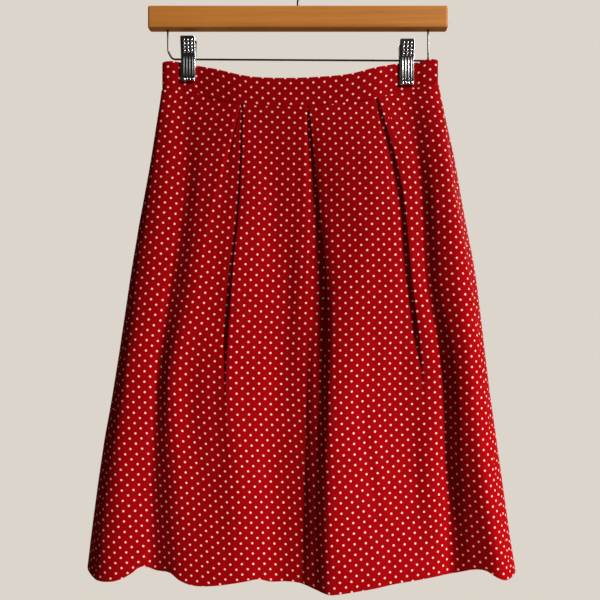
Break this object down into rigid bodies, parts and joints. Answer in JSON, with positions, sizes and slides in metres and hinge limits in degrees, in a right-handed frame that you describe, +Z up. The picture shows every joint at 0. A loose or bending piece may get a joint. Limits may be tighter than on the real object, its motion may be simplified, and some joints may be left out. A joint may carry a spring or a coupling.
{
  "type": "pleated skirt on clip hanger",
  "caption": "Dotted skirt with inverted pleats and a straight waistband, hung by metal clips from a wooden bar hanger.",
  "frame": {"origin": "the inside top of the hook, where the hanger hangs", "axes": "+X to the right of the front view along the bar, +Z up, the front with the pleats faces -Y"},
  "size_m": [0.5106, 0.0674, 0.7395],
  "materials": {
    "crepe": "deep red crepe with small cream dots, matt with a faint sheen",
    "oiled_wood": "honey brown, fine straight grain, satin",
    "steel": "drawn wire, smooth",
    "chrome": "pressed and chromed"
  },
  "bodies": {
    "root": {"front_panel": "crepe", "back_panel": "crepe", "waistband_front": "crepe", "waistband_back": "crepe", "hanger_bar": "oiled_wood", "hook": "steel", "trapeze_wire": "steel", "clip_left_front": "chrome", "clip_left_back": "chrome", "clip_left_barrel": "chrome", "clip_right_front": "chrome", "clip_right_back": "chrome", "clip_right_barrel": "chrome"}
  },
  "joints": []
}
